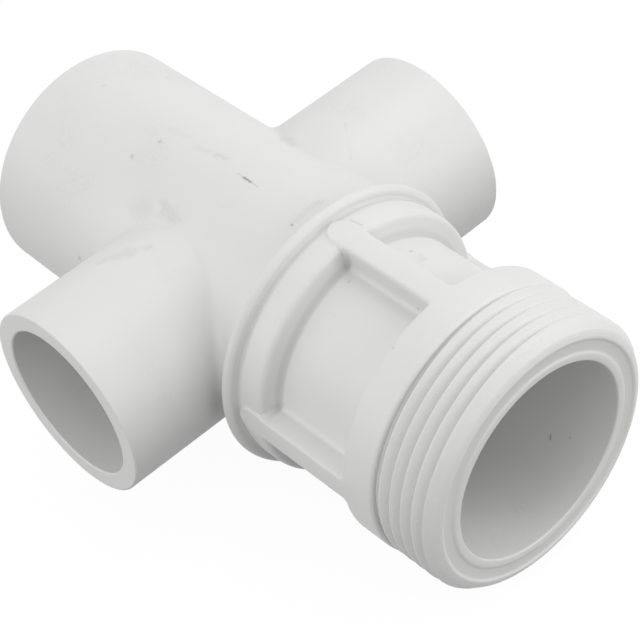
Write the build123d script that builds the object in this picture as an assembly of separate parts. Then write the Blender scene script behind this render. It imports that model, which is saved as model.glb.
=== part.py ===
from build123d import *
import os

# Four-way PVC pressure fitting: a solvent-socket cross with a ribbed male threaded end welded into its front.
# Millimetres. The run lies along +Y, back from the centre of the threaded end's sealing face.
# The two side hubs lie along X, and +Z is up.

# Ports of the cross moulding
rear_socket_radius = 30.2  # takes a 2 in pipe
rear_socket_depth = 38.1
rear_socket_wall = 6.7
rear_stop_ledge = 3.95  # pipe's end rests on it
side_socket_radius = 24.2  # takes a 1-1/2 in pipe
side_socket_depth = 34.9
side_socket_wall = 5.95  # makes each side hub 60.3 mm across, a 2 in spigot
side_stop_ledge = 3.75
mouth_chamfer = 0.4  # inner edge of each socket mouth
rear_edge_chamfer = 0.5  # outer edge of the rear mouth
side_edge_round = 0.5  # outer edge of each side mouth

# Body of the cross moulding
run_draft = 0.9  # the run's outside grows by this from its rear mouth to the rim
side_stop_gap = 0.2  # run's outside to a side socket's stop
rear_neck = 8.85  # side hub to the rear socket's stop
rim_to_side_hub = 9.05  # rim's front to the side hub
rim_height = 7.7  # above the run at its rear mouth
rim_width = 2.5
rim_front_round = 2.0
rim_rear_chamfer = 0.4
rim_root_fillet = 0.8
junction_fillet = 3.5  # where a side hub grows out of the run

# Welded joint between the two mouldings
joint_wall = 3.6  # of the run, around the spigot
joint_clearance = 0.05  # radial, around the spigot
joint_web = 1.45  # left between the joint's floor and the side waterway
spigot_wall = 2.85
spigot_end_gap = 0.5
spigot_lead = 0.8

# Threaded moulding
thread_radius = 41.6  # over the crests
thread_length = 21.85  # sealing face to the collar
lead_in_length = 3.55  # sealing face to the full thread diameter
lead_in_drop = 2.0
nose_width = 1.8  # the sealing face's sloping outer margin
nose_depth = 0.85
bore_chamfer = 0.6
seal_inner_land = 2.5  # bore to the seal's recess
seal_recess_width = 4.1
seal_recess_depth = 0.5
collar_lip = 0.5  # above the crests
collar_width = 11.2
collar_ease = 1.0  # its front edge slopes back over this
neck_wall = 4.65  # outside the bore
neck_length = 32.0
shoulder_drop = 0.6  # below the collar
shoulder_width = 11.5
shoulder_round = 0.8

# Ribs across the neck, flush with the collar
rib_count = 4
rib_width = 8.3
rib_end_setback = 1.7  # rib's rounded end to the rim
pocket_fillet = 1.0  # between the ribs

# How cutting bodies and edge searches are made
overshoot = 1.0  # cutting bodies pass the surfaces they cut by this
seam_turn = 1.8  # degrees round the run, from the X axis to its outside's seam
tolerance = 0.0001

# Radii about the run and side axes
run_radius = rear_socket_radius + rear_socket_wall
run_front_radius = run_radius + run_draft
run_waterway_radius = rear_socket_radius - rear_stop_ledge
side_radius = side_socket_radius + side_socket_wall
side_waterway_radius = side_socket_radius - side_stop_ledge
rim_radius = run_radius + rim_height
joint_radius = run_radius - joint_wall
spigot_radius = joint_radius - joint_clearance
bore_radius = spigot_radius - spigot_wall
neck_radius = bore_radius + neck_wall
nose_radius = thread_radius - lead_in_drop
seal_inner_radius = bore_radius + seal_inner_land
seal_outer_radius = seal_inner_radius + seal_recess_width
collar_radius = thread_radius + collar_lip
shoulder_radius = collar_radius - shoulder_drop
rib_half = rib_width / 2

# Stations along the run, from the sealing face
collar_front = thread_length
neck_front = collar_front + collar_width
shoulder_front = neck_front + neck_length
joint_plane = shoulder_front + shoulder_width
rim_back = joint_plane + rim_width
side_axis = joint_plane + rim_to_side_hub + side_radius
joint_floor = side_axis - side_waterway_radius - joint_web
spigot_end = joint_floor - spigot_end_gap
rear_face = side_axis + side_radius + rear_neck + rear_socket_depth
rear_stop = rear_face - rear_socket_depth
rib_end = joint_plane - rib_end_setback

# Stations along each side hub, from the run's axis
side_stop = run_radius + side_stop_gap
side_reach = side_stop + side_socket_depth


def turned(points):
    """Solid of revolution about the Y axis, from (radius, station) points."""
    return revolve(make_face(Polyline(*points, close=True)), Axis.Y, 360)


def on_circle(shape, radius, station):
    """Circular edges of a given radius about the run axis, at one station."""
    return shape.edges().filter_by(
        lambda edge: edge.geom_type == GeomType.CIRCLE
        and abs(edge.radius - radius) < tolerance
        and abs(edge.arc_center.Y - station) < tolerance
        and abs(edge.arc_center.X) < tolerance
    )


def junction_edges(shape):
    """The saddle curves where a side hub meets the run."""
    return shape.edges().filter_by(lambda edge: edge.geom_type not in (GeomType.CIRCLE, GeomType.LINE))


def side_mouth_edges(shape):
    """The outer edges of the two side mouths."""
    return shape.edges().filter_by(GeomType.CIRCLE).filter_by(
        lambda edge: abs(abs(edge.arc_center.X) - side_reach) < tolerance
    )


def build_cross_outside():
    run = Rot(0, seam_turn, 0) * turned([
        (0, joint_plane),
        (rim_radius, joint_plane),
        (rim_radius, rim_back),
        (run_front_radius, rim_back),
        (run_radius, rear_face),
        (0, rear_face),
    ])
    side_bar = Pos(0, side_axis, 0) * Rot(0, 90, 0) * Cylinder(side_radius, 2 * side_reach)
    body = run + side_bar
    body = fillet(junction_edges(body), junction_fillet)
    body = fillet(on_circle(body, run_front_radius, rim_back), rim_root_fillet)
    body = chamfer(on_circle(body, rim_radius, rim_back), rim_rear_chamfer)
    body = fillet(on_circle(body, rim_radius, joint_plane), rim_front_round)
    body = chamfer(on_circle(body, run_radius, rear_face), rear_edge_chamfer)
    return fillet(side_mouth_edges(body), side_edge_round)


def build_run_core():
    """What the run's cores leave hollow: joint socket, waterway and rear socket."""
    return turned([
        (0, joint_plane - overshoot),
        (joint_radius, joint_plane - overshoot),
        (joint_radius, joint_floor),
        (run_waterway_radius, joint_floor),
        (run_waterway_radius, rear_stop),
        (rear_socket_radius, rear_stop),
        (rear_socket_radius, rear_face - mouth_chamfer),
        (rear_socket_radius + 2 * mouth_chamfer, rear_face + mouth_chamfer),
        (0, rear_face + mouth_chamfer),
    ])


def build_side_core():
    """What one side core leaves hollow, on the +X side: waterway and socket."""
    core = turned([
        (0, 0),
        (side_waterway_radius, 0),
        (side_waterway_radius, side_stop),
        (side_socket_radius, side_stop),
        (side_socket_radius, side_reach - mouth_chamfer),
        (side_socket_radius + 2 * mouth_chamfer, side_reach + mouth_chamfer),
        (0, side_reach + mouth_chamfer),
    ])
    return Pos(0, side_axis, 0) * Rot(0, 0, -90) * core


def build_cross_body():
    right_core = build_side_core()
    return build_cross_outside() - build_run_core() - right_core - mirror(right_core, Plane.YZ)


def build_rib_outline():
    """Plan of the +Z rib, seen from above, with its round rear end."""
    straight_start = neck_front - rib_half
    straight_end = rib_end - rib_half
    straight = Rectangle(rib_width, straight_end - straight_start)
    return Pos(0, (straight_start + straight_end) / 2) * straight + Pos(0, straight_end) * Circle(rib_half)


def build_rib_blanks():
    """Columns standing on the run axis that keep each rib clear of the cores."""
    column = extrude(build_rib_outline(), collar_radius + 2 * overshoot)
    return [Rot(0, 360 / rib_count * turn, 0) * column for turn in range(rib_count)]


def build_shoulder_core(rib_blanks):
    """What lowers the shoulder below the collar, all round the rib ends."""
    core = turned([
        (shoulder_radius, shoulder_front),
        (shoulder_radius, joint_plane + overshoot),
        (collar_radius + overshoot, joint_plane + overshoot),
        (collar_radius + overshoot, shoulder_front),
    ])
    for blank in rib_blanks:
        core -= blank
    return core


def build_pocket_cores(rib_blanks):
    """The cores that mould the pockets between the ribs, with every inner edge rounded."""
    ring = turned([
        (neck_radius, neck_front),
        (neck_radius, shoulder_front),
        (collar_radius + overshoot, shoulder_front),
        (collar_radius + overshoot, neck_front),
    ])
    for blank in rib_blanks:
        ring -= blank
    return fillet(inner_edges(ring), pocket_fillet)


def inner_edges(cores):
    """Edges of the pocket cores that don't lie on their outer skin."""
    skin_radius = collar_radius + overshoot

    def is_inner(edge):
        middle = edge @ 0.5
        return (middle.X ** 2 + middle.Z ** 2) ** 0.5 < skin_radius - tolerance
    return cores.edges().filter_by(is_inner)


def build_threaded_blank():
    return turned([
        (0, 0),
        (nose_radius - nose_width, 0),
        (nose_radius, nose_depth),
        (thread_radius, lead_in_length),
        (thread_radius, collar_front),
        (collar_radius, collar_front + collar_ease),
        (collar_radius, joint_plane),
        (spigot_radius, joint_plane),
        (spigot_radius, spigot_end - spigot_lead),
        (spigot_radius - spigot_lead, spigot_end),
        (0, spigot_end),
    ])


def build_bore_core():
    """What the centre core leaves hollow: the straight bore, eased at the sealing face."""
    return turned([
        (0, -bore_chamfer),
        (bore_radius + 2 * bore_chamfer, -bore_chamfer),
        (bore_radius, bore_chamfer),
        (bore_radius, spigot_end + overshoot),
        (0, spigot_end + overshoot),
    ])


def build_seal_recess():
    """The shallow ring that a gasket beds into, with walls sloping at 45 degrees."""
    return turned([
        (seal_inner_radius - overshoot, -overshoot),
        (seal_inner_radius + seal_recess_depth, seal_recess_depth),
        (seal_outer_radius - seal_recess_depth, seal_recess_depth),
        (seal_outer_radius + overshoot, -overshoot),
    ])


def build_threaded_end():
    rib_blanks = build_rib_blanks()
    end = build_threaded_blank() - build_shoulder_core(rib_blanks) - build_pocket_cores(rib_blanks)
    end = fillet(on_circle(end, shoulder_radius, joint_plane), shoulder_round)
    return end - build_bore_core() - build_seal_recess()


nodes = {
    "cross_body": build_cross_body(),
    "threaded_end": build_threaded_end(),
}

os.makedirs("parts", exist_ok=True)
for name, shape in nodes.items():
    export_step(shape, f"parts/{name}.step")
    print(name, "volume", round(shape.volume), "faces", len(shape.faces()), "valid", shape.is_valid)
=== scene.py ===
import math

import bmesh
import bpy
from mathutils import Matrix, Vector


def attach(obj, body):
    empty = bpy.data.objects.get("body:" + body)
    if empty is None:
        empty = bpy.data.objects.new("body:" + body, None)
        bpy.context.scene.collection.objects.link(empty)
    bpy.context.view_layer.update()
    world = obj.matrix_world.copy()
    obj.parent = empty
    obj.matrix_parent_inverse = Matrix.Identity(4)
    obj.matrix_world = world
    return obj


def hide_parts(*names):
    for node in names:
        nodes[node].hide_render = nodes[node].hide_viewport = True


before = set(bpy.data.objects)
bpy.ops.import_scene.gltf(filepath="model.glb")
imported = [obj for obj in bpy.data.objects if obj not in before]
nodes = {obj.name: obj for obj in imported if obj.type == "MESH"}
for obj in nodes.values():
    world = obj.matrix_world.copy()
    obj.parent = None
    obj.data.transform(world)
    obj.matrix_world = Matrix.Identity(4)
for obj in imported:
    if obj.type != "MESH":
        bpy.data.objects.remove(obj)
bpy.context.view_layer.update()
scene = bpy.context.scene
mm = 0.001
slack = 0.1  # mm or degrees, in telling where a point lies
touching = 0.001  # mm, closer than this is one point
mergeWithin = 0.002  # mm, after each cut

# Angles in degrees, place in metres
viewSettings = {
    "azimuth": -36.0069,
    "elevation": 44.8485,
    "roll": -9.7986,
    "place": (-0.264177, -0.275543, 0.442838),
    "lens": 122.86,
    "sensor": 36.0,
    "nearest": 0.01,
}


def makeCamera():
    turn = math.radians(viewSettings["azimuth"])
    lift = math.radians(viewSettings["elevation"])
    roll = math.radians(viewSettings["roll"])
    back = Vector((math.sin(turn) * math.cos(lift), -math.cos(turn) * math.cos(lift), math.sin(lift)))
    right = Vector((math.cos(turn), math.sin(turn), 0))
    up = back.cross(right)
    tiltedRight = math.cos(roll) * right + math.sin(roll) * up
    tiltedUp = math.cos(roll) * up - math.sin(roll) * right
    pose = Matrix((tiltedRight, tiltedUp, back)).transposed().to_4x4()
    pose.translation = Vector(viewSettings["place"])
    data = bpy.data.cameras.new("viewCamera")
    data.lens = viewSettings["lens"]
    data.sensor_width = viewSettings["sensor"]
    data.clip_start = viewSettings["nearest"]
    camera = bpy.data.objects.new("viewCamera", data)
    camera.matrix_world = pose
    scene.collection.objects.link(camera)
    scene.camera = camera


makeCamera()
print("camera placed")


def workOn(piece):
    if bpy.context.mode != "OBJECT":
        bpy.ops.object.mode_set(mode="OBJECT")
    bpy.ops.object.select_all(action="DESELECT")
    piece.select_set(True)
    bpy.context.view_layer.objects.active = piece


def openMesh(piece, kind="VERT"):
    workOn(piece)
    bpy.ops.object.mode_set(mode="EDIT")
    bpy.ops.mesh.select_mode(type=kind)
    bpy.ops.mesh.select_all(action="DESELECT")


def closeMesh():
    bpy.ops.object.mode_set(mode="OBJECT")


# Selects the faces, edges or vertices that a test picks, in the open mesh
def pick(piece, kind, test):
    bpy.ops.mesh.select_mode(type=kind)
    bpy.ops.mesh.select_all(action="DESELECT")
    shape = bmesh.from_edit_mesh(piece.data)
    for part in {"VERT": shape.verts, "EDGE": shape.edges, "FACE": shape.faces}[kind]:
        if test(part):
            part.select_set(True)
    shape.select_flush_mode()
    bmesh.update_edit_mesh(piece.data)


def radiusOf(point):
    return math.hypot(point.x, point.z)


# Degrees round the run, from +X toward +Z
def angleOf(point):
    return math.degrees(math.atan2(point.z, point.x)) % 360


# The short way round between two angles
def angleBetween(one, other):
    return abs((one - other + 180) % 360 - 180)


def endsOf(edge):
    return [vert.co for vert in edge.verts]


def isSharp(edge):
    return math.degrees(edge.calc_face_angle(0.0)) > 50


# Whether every point lies between two stations
def between(points, front, back):
    return all((front - slack) * mm < point.y < (back + slack) * mm for point in points)


# Turns what is selected about the run's axis, from +X toward +Z
def turnSelected(degrees):
    bpy.ops.transform.rotate(value=math.radians(degrees), orient_axis="Y", center_override=(0, 0, 0))


def applyAll(piece):
    workOn(piece)
    for modifier in list(piece.modifiers):
        bpy.ops.object.modifier_apply(modifier=modifier.name)


# Draws a closed outline through (radius, station) points in mm, starting from a merged triangle
def drawProfile(name, points):
    bpy.ops.object.select_all(action="DESELECT")
    radius, station = points[0]
    bpy.ops.mesh.primitive_circle_add(vertices=3, radius=mm, fill_type="NOTHING")
    piece = bpy.context.object
    piece.name = name
    piece.data.name = name
    openMesh(piece)
    bpy.ops.mesh.select_all(action="SELECT")
    bpy.ops.mesh.merge(type="CENTER")
    bpy.ops.transform.translate(value=(radius * mm, station * mm, 0))
    for nextRadius, nextStation in points[1:]:
        step = ((nextRadius - radius) * mm, (nextStation - station) * mm, 0)
        bpy.ops.mesh.extrude_region_move(TRANSFORM_OT_translate={"value": step})
        radius, station = nextRadius, nextStation
    ends = [Vector((radius * mm, station * mm, 0)) for radius, station in (points[0], points[-1])]
    pick(piece, "VERT", lambda vert: min((vert.co - end).length for end in ends) < touching * mm)
    bpy.ops.mesh.edge_face_add()
    closeMesh()
    return piece


# A quarter round between two profile points, bulging toward the corner they would otherwise make
def rounded(start, corner, end, segments=4):
    points = []
    for step in range(segments + 1):
        share = step / segments * math.pi / 2
        towardStart = 1 - math.sin(share)
        towardEnd = 1 - math.cos(share)
        points.append(tuple(
            corner[k] + (start[k] - corner[k]) * towardStart + (end[k] - corner[k]) * towardEnd
            for k in range(2)
        ))
    return points


# Spins an outline about the run's axis
def spinSolid(name, points, steps):
    piece = drawProfile(name, points)
    openMesh(piece)
    bpy.ops.mesh.select_all(action="SELECT")
    bpy.ops.mesh.spin(steps=steps, angle=2 * math.pi, center=(0, 0, 0), axis=(0, 1, 0))
    bpy.ops.mesh.select_all(action="SELECT")
    bpy.ops.mesh.remove_doubles(threshold=touching * mm)
    bpy.ops.mesh.normals_make_consistent(inside=False)
    closeMesh()
    return piece


def combine(piece, other, operation):
    modifier = piece.modifiers.new(operation.lower(), "BOOLEAN")
    modifier.operation = operation
    modifier.solver = "EXACT"
    modifier.object = other
    applyAll(piece)
    bpy.data.objects.remove(other)
    # Slivers left by one cut can spoil the next
    openMesh(piece)
    bpy.ops.mesh.select_all(action="SELECT")
    bpy.ops.mesh.remove_doubles(threshold=mergeWithin * mm)
    closeMesh()


# Lengths in mm, stations from the sealing face
threadedPiece = {
    "steps": 128,  # round the run
    "collarFront": 21.85,
    "collarRadius": 42.1,
    "collarRound": 1.2,
    "pocketFront": 33.05,
    "pocketBack": 66.75,
    "pocketFloor": 35.05,
    "floorBack": 65.05,  # the pockets' rear walls lean back from here
    "pocketRound": 1.35,
    "rimRound": 0.75,
    "ribSteps": 2,  # half a rib, in steps round the run
    "ribHalf": 4.13,
    "ribEnd": 74.85,
    "ribSpread": 0.65,  # its rear end widens by this down to the shoulder
    "spreadDepth": 0.5,  # below the shoulder
    "spreadHeight": 1.0,
    "shoulderRadius": 41.5,
    "shoulderRound": 2.4,
    "shoulderFront": 66.0,
    "shoulderBack": 76.55,
    # Weld bead in the valley between the shoulder and the cross
    "valley": (
        (41.5, 73.9), (41.43, 74.55), (41.24, 75.15), (41.02, 75.65),
        (40.93, 75.98), (41.03, 76.22), (41.35, 76.42), (41.95, 76.6),
    ),
    "spigotRadius": 33.25,
    "spigotLead": 0.8,
    "spigotEnd": 93.35,
    "bore": 30.4,
    "boreEase": 0.65,
    # Bead beside the bore, seal's recess, outer land, sloping nose and lead-in
    "face": (
        (31.2, 0.06), (31.55, 0.01), (31.9, 0), (32.4, 0.01), (32.8, 0.07), (33.1, 0.28),
        (33.4, 0.47), (33.8, 0.5), (36.2, 0.5), (36.5, 0.44), (36.8, 0.24), (37.05, 0.06), (37.3, 0),
        (37.6, 0.02), (37.9, 0.12), (38.5, 0.38), (39.35, 0.78), (39.6, 0.95), (41.25, 3.05),
        (41.5, 3.4), (41.6, 3.8),
    ),
    "sleeveBack": 24.55,  # the threaded sleeve reaches into the collar
    "clearance": 1.5,  # cutting shapes pass the surfaces they cut by this
    "smoothWithin": 32,  # degrees
}

# Lengths in mm, angles in degrees round the run from +X toward +Z
thread = {
    "pitch": 4.03,
    "steps": 120,  # in each turn
    "root": 39.65,
    "grooveAngle": 120.0,
    "grooveStation": 20.9,  # bottom of the last groove at that angle
    "faintAngle": 45.0,  # the mould filled poorly about here, over faintReach each way
    "faintReach": 80.0,
    # A section's points are (radius, offset from the groove's bottom)
    # The rise lifts a section where the thread is faint
    "cuts": {
        # Steep behind each crest, then a long rise to the next; it starts hidden behind the collar
        "groove": {
            "start": -20.0,
            "end": 2500.0,
            "rise": 1.75,
            "section": (
                (41.68, -1.0), (41.6, -0.86), (41.45, -0.7), (41.15, -0.55), (40.6, -0.38), (39.75, -0.1),
                (39.65, 0.08), (40.1, 0.75), (40.65, 1.5), (41.05, 2.05), (41.36, 2.5), (41.55, 2.8),
                (41.61, 2.97), (41.68, 3.02),
            ),
        },
        # Takes the last ridge off, up to where it starts blunt
        "gap": {
            "start": 4.0,
            "end": 340.0,
            "rise": 1.1,
            "section": ((40.3, 0.05), (42.0, 0.4), (43.0, 0.6), (43.0, 6.0), (40.3, 6.0)),
        },
    },
}


# Collar, neck and spigot in one turned piece, with the four pockets pressed into it
def makeNeckBody(size):
    front, back, floorBack = size["pocketFront"], size["pocketBack"], size["floorBack"]
    outer, floor, ease = size["collarRadius"], size["pocketFloor"], size["collarRound"]
    collar, shoulder, bore = size["collarFront"], size["shoulderBack"], size["bore"]
    spigot, end, lead = size["spigotRadius"], size["spigotEnd"], size["spigotLead"]
    profile = [(bore, collar)]
    profile += rounded((outer - ease, collar), (outer, collar), (outer, collar + ease))
    profile += [
        (outer, front), (outer, back), (outer, shoulder), (spigot, shoulder),
        (spigot, end - lead), (spigot - lead, end), (bore, end),
    ]
    body = spinSolid("threadedEnd", profile, size["steps"])
    stepAngle = 360 / size["steps"]
    ribEdge = stepAngle * size["ribSteps"]

    def inPocket(face):
        middle = face.calc_center_median()
        return (
            front * mm < middle.y < back * mm
            and radiusOf(middle) > floor * mm
            and ribEdge < angleOf(middle) % 90 < 90 - ribEdge
        )

    openMesh(body, "FACE")
    pick(body, "FACE", inPocket)
    bpy.ops.mesh.extrude_region_move()
    shrink = floor / outer
    bpy.ops.transform.resize(value=(shrink, 1, shrink), center_override=(0, 0, 0))

    def onFloor(vert):
        return abs(radiusOf(vert.co) - floor * mm) < slack * mm

    pick(body, "VERT", lambda vert: onFloor(vert) and between([vert.co], back, back))
    bpy.ops.transform.translate(value=(0, (floorBack - back) * mm, 0))
    # Rib walls stand parallel, so the floors' side edges turn away from the rib
    outerHalf = outer * math.sin(math.radians(ribEdge))
    turnAway = math.degrees(math.asin(outerHalf / floor)) - ribEdge
    for quarter in range(4):
        for side in (-1, 1):
            edgeAngle = quarter * 90 + side * ribEdge
            pick(body, "VERT", lambda vert: (
                onFloor(vert)
                and between([vert.co], front, back)
                and angleBetween(angleOf(vert.co), edgeAngle) < slack
            ))
            turnSelected(side * turnAway)

    def inPocketSpan(edge):
        return between(endsOf(edge), front, back)

    # One end lies well below the pockets' rims
    def reachesDown(edge):
        return min(radiusOf(point) for point in endsOf(edge)) < (outer - 2) * mm

    def besideRib(edge):
        turned = [angleOf(point) % 90 for point in endsOf(edge)]
        return all(abs(min(turn, 90 - turn) - ribEdge - stepAngle) < slack for turn in turned)

    # The first strips beside each rib join into one, to give the fillets room
    pick(body, "EDGE", lambda edge: inPocketSpan(edge) and reachesDown(edge) and besideRib(edge))
    bpy.ops.mesh.dissolve_edges(use_verts=True)
    pick(body, "EDGE", lambda edge: isSharp(edge) and inPocketSpan(edge) and reachesDown(edge))
    bpy.ops.mesh.bevel(offset=size["pocketRound"] * mm, segments=4, affect="EDGES", clamp_overlap=False)

    def isRim(edge):
        return min(radiusOf(point) for point in endsOf(edge)) > (outer - slack) * mm

    pick(body, "EDGE", lambda edge: isSharp(edge) and inPocketSpan(edge) and isRim(edge))
    bpy.ops.mesh.bevel(offset=size["rimRound"] * mm, segments=3, affect="EDGES", clamp_overlap=False)
    closeMesh()
    return body


# A column over the +Z rib's rear end that keeps it out of the shoulder's cut, spreading at its foot
def makeRibBlank(size):
    base = 30  # the column's foot
    reach = 12  # forward along the rib
    top = 8  # above its spread foot
    half = size["ribHalf"]
    roundMiddle = size["ribEnd"] - half
    footHalf = half + size["ribSpread"]
    spreadStart = size["shoulderRadius"] - size["spreadDepth"]
    bpy.ops.object.select_all(action="DESELECT")
    bpy.ops.mesh.primitive_circle_add(
        vertices=48, radius=footHalf * mm, fill_type="NGON", location=(0, roundMiddle * mm, base * mm),
    )
    blank = bpy.context.object
    bpy.ops.object.transform_apply(location=True)
    openMesh(blank)
    pick(blank, "VERT", lambda vert: vert.co.y < (roundMiddle - slack) * mm)
    bpy.ops.transform.translate(value=(0, -reach * mm, 0))
    bpy.ops.mesh.select_all(action="SELECT")
    narrow = half / footHalf
    for lift, width in ((spreadStart - base, 1), (size["spreadHeight"], narrow), (top, 1)):
        bpy.ops.mesh.extrude_region_move(TRANSFORM_OT_translate={"value": (0, 0, lift * mm)})
        bpy.ops.transform.resize(value=(width, width, 1), center_override=(0, roundMiddle * mm, 0))
    bpy.ops.mesh.select_all(action="SELECT")
    bpy.ops.mesh.normals_make_consistent(inside=False)
    closeMesh()
    return blank


# What lowers the shoulder between the rib ends, and rounds its rims
def makeShoulderCutter(size):
    radius, ease, past = size["shoulderRadius"], size["shoulderRound"], size["clearance"]
    front, back, outside = size["shoulderFront"], size["shoulderBack"], size["collarRadius"] + past
    profile = [(outside, front - past), (radius - ease - slack, front - past)]
    profile += rounded((radius - ease, front), (radius, front), (radius, front + ease))
    profile += [*size["valley"], (outside, back + 0.5)]
    cutter = spinSolid("shoulderCutter", profile, size["steps"])
    for quarter in range(4):
        blank = makeRibBlank(size)
        openMesh(blank)
        bpy.ops.mesh.select_all(action="SELECT")
        turnSelected(quarter * 90)
        closeMesh()
        combine(cutter, blank, "DIFFERENCE")
    return cutter


# Winds one of the thread's cuts along its helix
def windCut(name, cut):
    start, turns = cut["start"], (cut["end"] - cut["start"]) / 360
    bottom = thread["grooveStation"] - thread["pitch"] * (start - thread["grooveAngle"]) / 360
    cutter = drawProfile(name, [(radius, bottom + offset) for radius, offset in cut["section"]])
    openMesh(cutter)
    bpy.ops.mesh.select_all(action="SELECT")
    turnSelected(start)
    closeMesh()
    winding = cutter.modifiers.new("winding", "SCREW")
    winding.axis = "Y"
    winding.angle = -turns * 2 * math.pi
    winding.screw_offset = -turns * thread["pitch"] * mm
    winding.steps = winding.render_steps = round(turns * thread["steps"])
    winding.iterations = 1
    winding.use_smooth_shade = False
    applyAll(cutter)
    openMesh(cutter, "EDGE")
    bpy.ops.mesh.select_non_manifold()
    bpy.ops.mesh.edge_face_add()
    bpy.ops.mesh.select_all(action="SELECT")
    bpy.ops.mesh.normals_make_consistent(inside=False)
    reach, stepAngle = thread["faintReach"], 360 / thread["steps"]
    for step in range(thread["steps"]):
        angle = start + stepAngle * step
        away = angleBetween(angle, thread["faintAngle"])
        if away < reach:
            grow = 1 + cut["rise"] / thread["root"] * math.cos(away / reach * math.pi / 2) ** 2
            pick(cutter, "VERT", lambda vert: angleBetween(angleOf(vert.co), angle) < stepAngle / 3)
            bpy.ops.transform.resize(value=(grow, 1, grow), center_override=(0, 0, 0))
    closeMesh()
    return cutter


# The thread and the face in front of the collar, with the bore's front edge eased
def makeThreadSleeve(size):
    bore, ease, back = size["bore"], size["boreEase"], size["sleeveBack"]
    face, crest = size["face"][0][1], size["face"][-1][0]
    profile = rounded((bore, face + ease), (bore, face), (bore + ease, face), segments=5)
    profile += [*size["face"], (crest, back), (bore, back)]
    sleeve = spinSolid("threadSleeve", profile, size["steps"])
    for name, cut in thread["cuts"].items():
        combine(sleeve, windCut(name, cut), "DIFFERENCE")
    return sleeve


def makeThreadedEnd():
    size = threadedPiece
    body = makeNeckBody(size)
    print("neck done", len(body.data.polygons))
    combine(body, makeShoulderCutter(size), "DIFFERENCE")
    print("shoulder done", len(body.data.polygons))
    sleeve = makeThreadSleeve(size)
    print("sleeve done", len(sleeve.data.polygons))
    combine(body, sleeve, "UNION")
    workOn(body)
    bpy.ops.object.shade_smooth_by_angle(angle=math.radians(size["smoothWithin"]))
    return body


threadedEnd = makeThreadedEnd()
print("threaded end modelled", len(threadedEnd.data.polygons))
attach(threadedEnd, "root")
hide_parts("threaded_end")


def join(tree, source, target):
    tree.links.new(source, target)


# Each input is given a constant, or the output that drives it
def feed(tree, socket, value):
    if isinstance(value, bpy.types.NodeSocket):
        join(tree, value, socket)
    else:
        socket.default_value = value


def addNode(tree, kind, values=None, **settings):
    node = tree.nodes.new(kind)
    for name, value in settings.items():
        setattr(node, name, value)
    for label, value in (values or {}).items():
        feed(tree, node.inputs[label], value)
    return node


def calculate(tree, operation, *values, clamp=False):
    node = addNode(tree, "ShaderNodeMath", operation=operation, use_clamp=clamp)
    for index, value in enumerate(values):
        feed(tree, node.inputs[index], value)
    return node.outputs[0]


def calculateVector(tree, operation, *values, output="Vector"):
    node = addNode(tree, "ShaderNodeVectorMath", operation=operation)
    for index, value in enumerate(values):
        feed(tree, node.inputs[index], value)
    return node.outputs[output]


# Runs one operation through several values
def chain(tree, operation, values):
    total = values[0]
    for value in values[1:]:
        total = calculate(tree, operation, total, value)
    return total


def addUp(tree, *values):
    return chain(tree, "ADD", values)


def multiply(tree, *values):
    return chain(tree, "MULTIPLY", values)


def above(tree, value, limit):
    return calculate(tree, "GREATER_THAN", value, limit)


def below(tree, value, limit):
    return calculate(tree, "LESS_THAN", value, limit)


# Passes smoothly from low to high as a value goes from start to finish
def fade(tree, value, start, finish, low, high):
    values = {0: value, 1: start, 2: finish, 3: low, 4: high}
    return addNode(tree, "ShaderNodeMapRange", values, interpolation_type="SMOOTHSTEP").outputs[0]


def rise(tree, value, start, finish, top=1.0):
    return fade(tree, value, start, finish, 0.0, top)


def fall(tree, value, start, finish, top=1.0):
    return fade(tree, value, start, finish, top, 0.0)


def noise(tree, place, scale, detail=3.0, roughness=0.55):
    values = {"Vector": place, "Scale": scale, "Detail": detail, "Roughness": roughness}
    return addNode(tree, "ShaderNodeTexNoise", values).outputs[0]


# Inputs of a group are (label, socket kind, default)
def startGroup(name, inputs, outputs):
    group = bpy.data.node_groups.new(name, "ShaderNodeTree")
    for label, kind, value in inputs:
        socket = group.interface.new_socket(name=label, in_out="INPUT", socket_type=kind)
        socket.default_value = value
    for label in outputs:
        group.interface.new_socket(name=label, in_out="OUTPUT", socket_type="NodeSocketFloat")
    return group, addNode(group, "NodeGroupInput").outputs, addNode(group, "NodeGroupOutput").inputs


number, arrow = "NodeSocketFloat", "NodeSocketVector"


# Fine skin of a moulding, with a slight waviness under it
def makeSkinGroup():
    group, given, result = startGroup(
        "mouldedSkin",
        [("Place", arrow, (0, 0, 0)), ("Fine", number, 1.4), ("Wave", number, 0.12)],
        ["Height"],
    )
    fine = noise(group, given["Place"], given["Fine"], detail=2.0)
    wave = noise(group, given["Place"], given["Wave"], detail=1.0)
    join(group, calculate(group, "MULTIPLY_ADD", wave, 3.0, fine), result["Height"])
    return group


# Uneven tone and faint cloudy soil
def makeSoilGroup():
    group, given, result = startGroup(
        "cloudySoil",
        [("Place", arrow, (0, 0, 0)), ("Scale", number, 0.05), ("Amount", number, 0.5)],
        ["Soil", "Tone"],
    )
    cloud = noise(group, given["Place"], given["Scale"], detail=4.0, roughness=0.62)
    patch = rise(group, cloud, 0.52, 0.72)
    breakUp = rise(group, noise(group, given["Place"], 0.9, detail=2.0), 0.3, 0.75)
    join(group, multiply(group, patch, breakUp, given["Amount"]), result["Soil"])
    join(group, noise(group, given["Place"], 0.022, detail=1.0), result["Tone"])
    return group


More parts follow.
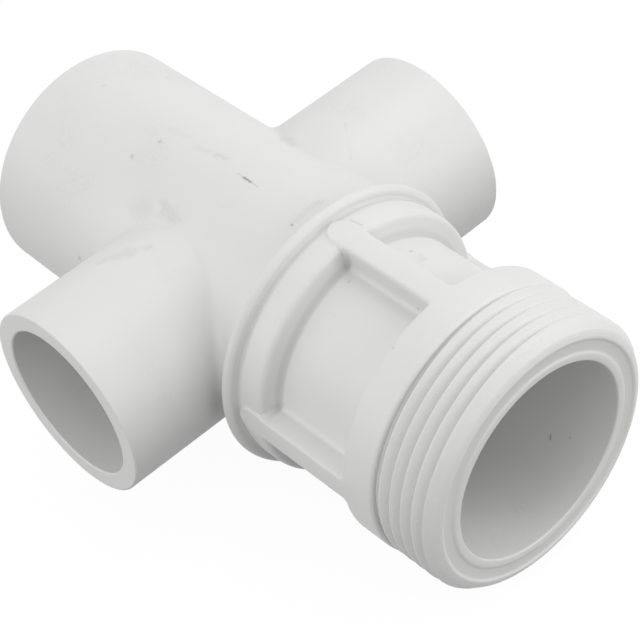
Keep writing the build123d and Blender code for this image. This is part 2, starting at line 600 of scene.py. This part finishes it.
# Sparse dark specks, one here and there in a lattice of cells
def makeSpeckGroup():
    group, given, result = startGroup(
        "speckles",
        [
            ("Place", arrow, (0, 0, 0)), ("Spacing", number, 9.0),
            ("Size", number, 0.25), ("Share", number, 0.3),
        ],
        ["Specks"],
    )
    density = calculate(group, "DIVIDE", 1.0, given["Spacing"])
    cells = addNode(group, "ShaderNodeTexVoronoi", {"Vector": given["Place"], "Scale": density})
    apart = addNode(group, "ShaderNodeSeparateColor", {0: cells.outputs["Color"]})
    chosen = below(group, apart.outputs[0], given["Share"])
    reach = multiply(group, given["Size"], calculate(group, "ADD", apart.outputs[1], 0.35))
    uneven = calculate(group, "MULTIPLY_ADD", noise(group, given["Place"], 3.0), 0.5, -0.25)
    away = addUp(group, multiply(group, cells.outputs["Distance"], given["Spacing"]), uneven)
    dark = calculate(group, "SUBTRACT", 1.0, calculate(group, "DIVIDE", away, reach), clamp=True)
    join(group, multiply(group, rise(group, dark, 0.0, 0.6), chosen), result["Specks"])
    return group


# One mark: a streak from Start to Finish, or a spot where the two are alike
def makeMarkGroup():
    group, given, result = startGroup(
        "mark",
        [
            ("Place", arrow, (0, 0, 0)), ("Start", arrow, (0, 0, 0)), ("Finish", arrow, (0, 0, 0)),
            ("Width", number, 0.3), ("Strength", number, 1.0), ("Ragged", number, 0.5),
        ],
        ["Mark"],
    )
    along = calculateVector(group, "SUBTRACT", given["Finish"], given["Start"])
    offset = calculateVector(group, "SUBTRACT", given["Place"], given["Start"])
    length = calculateVector(group, "DOT_PRODUCT", along, along, output="Value")
    share = calculateVector(group, "DOT_PRODUCT", offset, along, output="Value")
    share = calculate(group, "DIVIDE", share, calculate(group, "MAXIMUM", length, 0.0001), clamp=True)
    nearest = addNode(group, "ShaderNodeVectorMath", {0: along, "Scale": share}, operation="SCALE")
    away = calculateVector(group, "DISTANCE", offset, nearest.outputs[0], output="Value")
    grain = calculate(group, "DIVIDE", 0.9, given["Width"])
    ripple = noise(group, given["Place"], grain, detail=4.0, roughness=0.65)
    ripple = calculate(group, "MULTIPLY_ADD", ripple, 4.0, -2.0)
    ripple = multiply(group, ripple, given["Ragged"], given["Width"])
    away = calculate(group, "DIVIDE", addUp(group, ripple, away), given["Width"])
    join(group, multiply(group, fall(group, away, 0.0, 1.25), given["Strength"]), result["Mark"])
    return group


skinGroup, soilGroup = makeSkinGroup(), makeSoilGroup()
speckGroup, markGroup = makeSpeckGroup(), makeMarkGroup()
print("shared effects built")


def useGroup(tree, group, place, **values):
    return addNode(tree, "ShaderNodeGroup", {"Place": place, **values}, node_tree=group)


# Colours are linear; marks are (start, finish, width, strength, raggedness), places in mm
crossFinish = {
    "colour": (0.755, 0.76, 0.75),
    "toneChange": 0.035,
    "dirtAndShadeColour": (0.36, 0.35, 0.33),
    "soilAmount": 0.09,
    "roughness": 0.46,
    "skinDepth": 0.00005,
    "speckShare": 0.3,
    "marks": (
        ((0.0, 115.0, 37.5), (-0.2, 106.2, 37.5), 0.38, 0.34, 0.9),
        ((0.0, 112.4, 37.5), (-0.1, 109.4, 37.5), 0.5, 0.95, 0.7),
        ((0.1, 133.2, 37.3), (2.5, 122.7, 37.4), 1.5, 0.09, 1.3),
        ((1.6, 126.0, 37.3), (2.6, 122.8, 37.4), 1.6, 0.09, 1.3),
        ((0.4, 144.9, 37.2), (1.8, 139.0, 37.2), 1.8, 0.06, 1.2),
        ((-5.0, 144.0, 36.9), (-5.0, 144.0, 36.9), 0.85, 0.5, 0.5),
        ((-13.3, 147.4, 34.8), (-13.3, 147.4, 34.8), 1.1, 0.4, 0.6),
        # Painted shade along the left hub's junction with the run
        ((-19.2, 126.4, 32.0), (-20.5, 121.7, 31.3), 2.8, 0.17, 1.1),
        ((-22.9, 134.6, 29.5), (-22.9, 131.0, 29.5), 4.2, 0.09, 0.7),
        ((-4.6, 87.2, 37.4), (-4.6, 87.2, 37.4), 0.7, 0.7, 0.5),
        ((-3.0, 87.3, 37.5), (7.2, 88.3, 37.0), 1.6, 0.12, 1.0),
        ((24.0, 124.3, 29.1), (24.1, 120.0, 29.8), 2.2, 0.14, 0.8),
        ((19.0, 170.3, 31.8), (19.0, 170.3, 31.8), 1.1, 0.2, 0.5),
        ((0.5, 177.6, 37.0), (0.5, 177.6, 37.0), 1.0, 0.16, 0.5),
        ((-36.3, 152.0, 8.2), (-36.3, 152.0, 8.2), 0.9, 0.4, 0.5),
        ((-33.2, 119.4, 29.9), (-42.8, 126.0, 28.3), 2.6, 0.14, 1.0),
        ((32.0, 103.4, 27.5), (40.0, 114.0, 30.1), 0.5, 0.14, 0.8),
    ),
}

adapterFinish = {
    "colour": (0.765, 0.77, 0.76),
    "toneChange": 0.03,
    "dirtAndShadeColour": (0.36, 0.35, 0.33),
    "soilAmount": 0.08,
    "roughness": 0.44,
    "skinDepth": 0.00005,
    "speckShare": 0.3,
    "marks": (
        ((4.7, 72.4, 41.2), (5.5, 68.9, 41.1), 0.3, 0.42, 0.4),
        ((12.5, 58.1, 32.7), (12.5, 58.1, 32.7), 0.7, 0.5, 0.6),
        ((13.5, 55.0, 32.3), (11.5, 53.0, 33.0), 1.6, 0.12, 0.9),
        ((15.2, 65.0, 37.5), (14.2, 65.0, 38.5), 1.2, 0.3, 0.8),
        ((-7.6, 61.4, 34.2), (-7.6, 61.4, 34.2), 0.55, 0.45, 0.4),
        ((-4.2, 38.2, 36.2), (-4.2, 38.2, 36.2), 0.5, 0.7, 0.4),
        ((-19.2, 32.1, 37.5), (-19.2, 32.1, 37.5), 0.6, 0.3, 0.4),
        ((21.6, 18.3, -21.4), (20.8, 17.7, -22.1), 0.4, 0.9, 0.3),
        ((23.3, 12.4, -19.5), (23.3, 12.4, -19.5), 0.4, 0.5, 0.3),
    ),
}


# Toned colour under all the soil, marks and painted shade, with the moulding's skin as a bump
def makePlastic(name, finish, extraShade=None, extraHeight=None):
    material = bpy.data.materials.new(name)
    material.use_nodes = True
    tree = material.node_tree
    shader = tree.nodes["Principled BSDF"]
    coordinates = addNode(tree, "ShaderNodeTexCoord")
    place = calculateVector(tree, "MULTIPLY", coordinates.outputs["Object"], (1000, 1000, 1000))
    soil = useGroup(tree, soilGroup, place, Amount=finish["soilAmount"])
    specks = useGroup(tree, speckGroup, place, Share=finish["speckShare"]).outputs["Specks"]
    masks = [soil.outputs["Soil"], multiply(tree, specks, 0.4)]
    for mark in finish["marks"]:
        values = dict(zip(("Start", "Finish", "Width", "Strength", "Ragged"), mark))
        masks.append(useGroup(tree, markGroup, place, **values).outputs["Mark"])
    # Painted shade for hollows and corners joins the soil and marks here
    if extraShade:
        masks.append(extraShade(tree, place))
    dirtAndShade = calculate(tree, "MINIMUM", addUp(tree, *masks), 1.0)
    change = finish["toneChange"]
    tone = calculate(tree, "MULTIPLY_ADD", soil.outputs["Tone"], change * 2, 1 - change)
    toned = {0: 1.0, 6: (*finish["colour"], 1), 7: tone}
    clean = addNode(tree, "ShaderNodeMix", toned, data_type="RGBA", blend_type="MULTIPLY")
    dirtAndShadeMix = {0: dirtAndShade, 6: clean.outputs[2], 7: (*finish["dirtAndShadeColour"], 1)}
    blend = addNode(tree, "ShaderNodeMix", dirtAndShadeMix, data_type="RGBA")
    join(tree, blend.outputs[2], shader.inputs["Base Color"])
    roughness = calculate(tree, "MULTIPLY_ADD", dirtAndShade, 0.25, finish["roughness"])
    join(tree, roughness, shader.inputs["Roughness"])
    height = useGroup(tree, skinGroup, place).outputs["Height"]
    if extraHeight:
        height = addUp(tree, height, extraHeight(tree, place))
    relief = {"Strength": 0.6, "Distance": finish["skinDepth"], "Height": height}
    bump = addNode(tree, "ShaderNodeBump", relief)
    join(tree, bump.outputs[0], shader.inputs["Normal"])
    return material


# How strong the painted shade gets in each place
paintedShade = {
    "threadRoot": 0.17,
    "recess": 0.12,
    "ribWallFoot": 0.1,
    "ribWall": 0.22,
    "rearWallFoot": 0.4,
    "rearWall": 0.11,
    "pocketCorner": 0.24,
    "valley": 0.17,
    "bore": 0.06,
}


# A point's station along the run and its distance from the run's axis
def findRunPlace(tree, place):
    station = addNode(tree, "ShaderNodeSeparateXYZ", {0: place}).outputs[1]
    flat = calculateVector(tree, "MULTIPLY", place, (1, 0, 1))
    return station, calculateVector(tree, "LENGTH", flat, output="Value")


# Painted shade in the thread's roots and in the seal's recess
def findThreadShade(tree, station, radius):
    root = thread["root"]
    roots = multiply(
        tree,
        fall(tree, radius, root, root + 1.5, paintedShade["threadRoot"]),
        above(tree, radius, root - 1.5),
        above(tree, station, 2.5),
        below(tree, station, threadedPiece["collarFront"] + 0.3),
    )
    # Painted shade over the recess, as in the face's outline
    recess = multiply(
        tree,
        rise(tree, radius, 33.0, 33.5),
        fall(tree, radius, 36.5, 37.1),
        rise(tree, station, 0.15, 0.5, paintedShade["recess"]),
        below(tree, station, 1.0),
    )
    return addUp(tree, roots, recess)


# Painted shade on the pockets' walls, and in the corners behind them
def findPocketShade(tree, place, station, radius):
    size = threadedPiece
    floor, back, rib = size["pocketFloor"], size["floorBack"], size["ribHalf"]
    apart = addNode(tree, "ShaderNodeSeparateXYZ", {0: place})
    across, height = apart.outputs[0], apart.outputs[2]
    # Distance from the middle plane of the nearest rib
    fromRib = calculate(
        tree, "MINIMUM", calculate(tree, "ABSOLUTE", across), calculate(tree, "ABSOLUTE", height),
    )
    ribWall = multiply(
        tree,
        fall(tree, fromRib, rib + 0.4, rib + 5.0),
        fade(tree, radius, floor + 0.3, floor + 2.5, paintedShade["ribWallFoot"], paintedShade["ribWall"]),
        fall(tree, radius, floor + 4.5, floor + 6.9),
        # Full painted shade on the top rib's walls, less on the ribs at the sides and below
        fade(tree, height, 15.0, 30.0, 0.25, 1.0),
    )
    rearWall = multiply(
        tree,
        rise(tree, station, back - 1.6, back - 0.4),
        fade(tree, radius, floor + 0.3, floor + 2.6, paintedShade["rearWallFoot"], paintedShade["rearWall"]),
        fall(tree, radius, floor + 4.2, floor + 6.2),
    )
    corner = multiply(
        tree,
        fall(tree, fromRib, rib + 0.3, rib + 2.6),
        rise(tree, station, back - 2.6, back, paintedShade["pocketCorner"]),
        fall(tree, radius, floor + 1.5, floor + 5.6),
    )
    inPocket = multiply(
        tree,
        above(tree, station, size["pocketFront"] + 0.2),
        below(tree, station, size["pocketBack"] + 0.8),
        above(tree, radius, size["spigotRadius"] + 0.5),
    )
    return multiply(tree, addUp(tree, ribWall, rearWall, corner), inPocket)


# All the painted shade: thread, recess and pockets, the valley at the weld bead, and a thin one that thickens
# deeper into the bore
def findPaintedShade(tree, place):
    station, radius = findRunPlace(tree, place)
    shoulder, shoulderBack = threadedPiece["shoulderRadius"], threadedPiece["shoulderBack"]
    valley = multiply(
        tree,
        rise(tree, station, shoulderBack - 2.95, shoulderBack - 0.85, paintedShade["valley"]),
        fall(tree, radius, shoulder - 0.1, shoulder + 0.05),
    )
    bore = multiply(
        tree,
        rise(tree, station, 6.0, 45.0, paintedShade["bore"]),
        below(tree, radius, threadedPiece["bore"] + 0.3),
    )
    threadShade = findThreadShade(tree, station, radius)
    pocketShade = findPocketShade(tree, place, station, radius)
    return addUp(tree, threadShade, pocketShade, valley, bore)


# Nicks and waves that wear leaves on the thread and the nose, but not in the bore or on the face
def findWear(tree, place):
    station, radius = findRunPlace(tree, place)
    collar = threadedPiece["collarFront"]
    grain = noise(tree, place, 0.75, detail=3.0, roughness=0.6)
    worn = fade(tree, station, collar - 0.5, collar + 1.5, 1.0, 0.15)
    return multiply(tree, grain, 5.0, worn, above(tree, radius, 38.5))


crossPlastic = makePlastic("crossPlastic", crossFinish)
adapterPlastic = makePlastic("adapterPlastic", adapterFinish, findPaintedShade, findWear)
crossBody = nodes["cross_body"]
for piece, material in ((crossBody, crossPlastic), (threadedEnd, adapterPlastic)):
    piece.data.materials.clear()
    piece.data.materials.append(material)
print("finishes made")

# Lengths in metres, powers in watts, angles in degrees: azimuth from +X toward +Y
studio = {
    "aim": (0.0, 0.095, 0.0),
    "room": 0.58,
    "lampDistance": 1.2,
    "lampSize": 0.9,
    "lamps": {  # azimuth, elevation and power
        "left": (180, 20, 3.12),
        "backLeft": (135, 20, 2.09),
        "backRight": (45, 20, 1.11),
        "highRight": (0, 55, 3.16),
        "frontRight": (-45, 20, 3.82),
        "front": (-90, 20, 1.72),
    },
    "floorHeight": -0.0446,  # just under the rim
    "floorSize": 6.0,
    "floorColour": (0.15, 0.15, 0.15, 1),  # the floor as rays other than camera, glossy and transmission rays see it
    "seenColour": (0.9, 0.9, 0.9, 1),  # the floor as the camera sees it, mostly glow
    "seenGlow": 1.03,
    "glowShare": 0.92,
}


def whereSeen(tree):
    path = addNode(tree, "ShaderNodeLightPath")
    seen = calculate(tree, "MAXIMUM", path.outputs["Is Camera Ray"], path.outputs["Is Glossy Ray"])
    return calculate(tree, "MAXIMUM", seen, path.outputs["Is Transmission Ray"])


def makeRoom():
    world = bpy.data.worlds.new("softRoom")
    scene.world = world
    world.use_nodes = True
    tree = world.node_tree
    tree.nodes.clear()
    seen = whereSeen(tree)
    room = addNode(tree, "ShaderNodeBackground", {"Color": (1, 1, 1, 1), "Strength": studio["room"]})
    white = addNode(tree, "ShaderNodeBackground", {"Color": (1, 1, 1, 1), "Strength": 1.0})
    mixed = addNode(tree, "ShaderNodeMixShader", {0: seen, 1: room.outputs[0], 2: white.outputs[0]})
    addNode(tree, "ShaderNodeOutputWorld", {0: mixed.outputs[0]})


def makeFloor():
    bpy.ops.object.select_all(action="DESELECT")
    bpy.ops.mesh.primitive_plane_add(size=studio["floorSize"], location=(0, 0, studio["floorHeight"]))
    floor = bpy.context.object
    floor.name = "floor"
    material = bpy.data.materials.new("paleFloor")
    material.use_nodes = True
    tree = material.node_tree
    tree.nodes.clear()
    seen = whereSeen(tree)
    plain = addNode(tree, "ShaderNodeBsdfDiffuse", {"Color": studio["floorColour"]})
    pale = addNode(tree, "ShaderNodeBsdfDiffuse", {"Color": studio["seenColour"]})
    glow = addNode(tree, "ShaderNodeEmission", {"Color": (1, 1, 1, 1), "Strength": studio["seenGlow"]})
    shares = {0: studio["glowShare"], 1: pale.outputs[0], 2: glow.outputs[0]}
    white = addNode(tree, "ShaderNodeMixShader", shares)
    mixed = addNode(tree, "ShaderNodeMixShader", {0: seen, 1: plain.outputs[0], 2: white.outputs[0]})
    addNode(tree, "ShaderNodeOutputMaterial", {0: mixed.outputs[0]})
    floor.data.materials.append(material)


def makeLamps():
    for name, (azimuth, elevation, power) in studio["lamps"].items():
        turn, lift = math.radians(azimuth), math.radians(elevation)
        away = Vector((math.cos(turn) * math.cos(lift), math.sin(turn) * math.cos(lift), math.sin(lift)))
        data = bpy.data.lights.new(name, "AREA")
        data.shape = "DISK"
        data.size = studio["lampSize"]
        data.energy = power
        light = bpy.data.objects.new(name, data)
        light.location = Vector(studio["aim"]) + away * studio["lampDistance"]
        light.rotation_euler = (-away).to_track_quat("-Z", "Y").to_euler()
        scene.collection.objects.link(light)


makeRoom()
makeFloor()
makeLamps()
scene.view_settings.view_transform = "Standard"
print("studio lit")
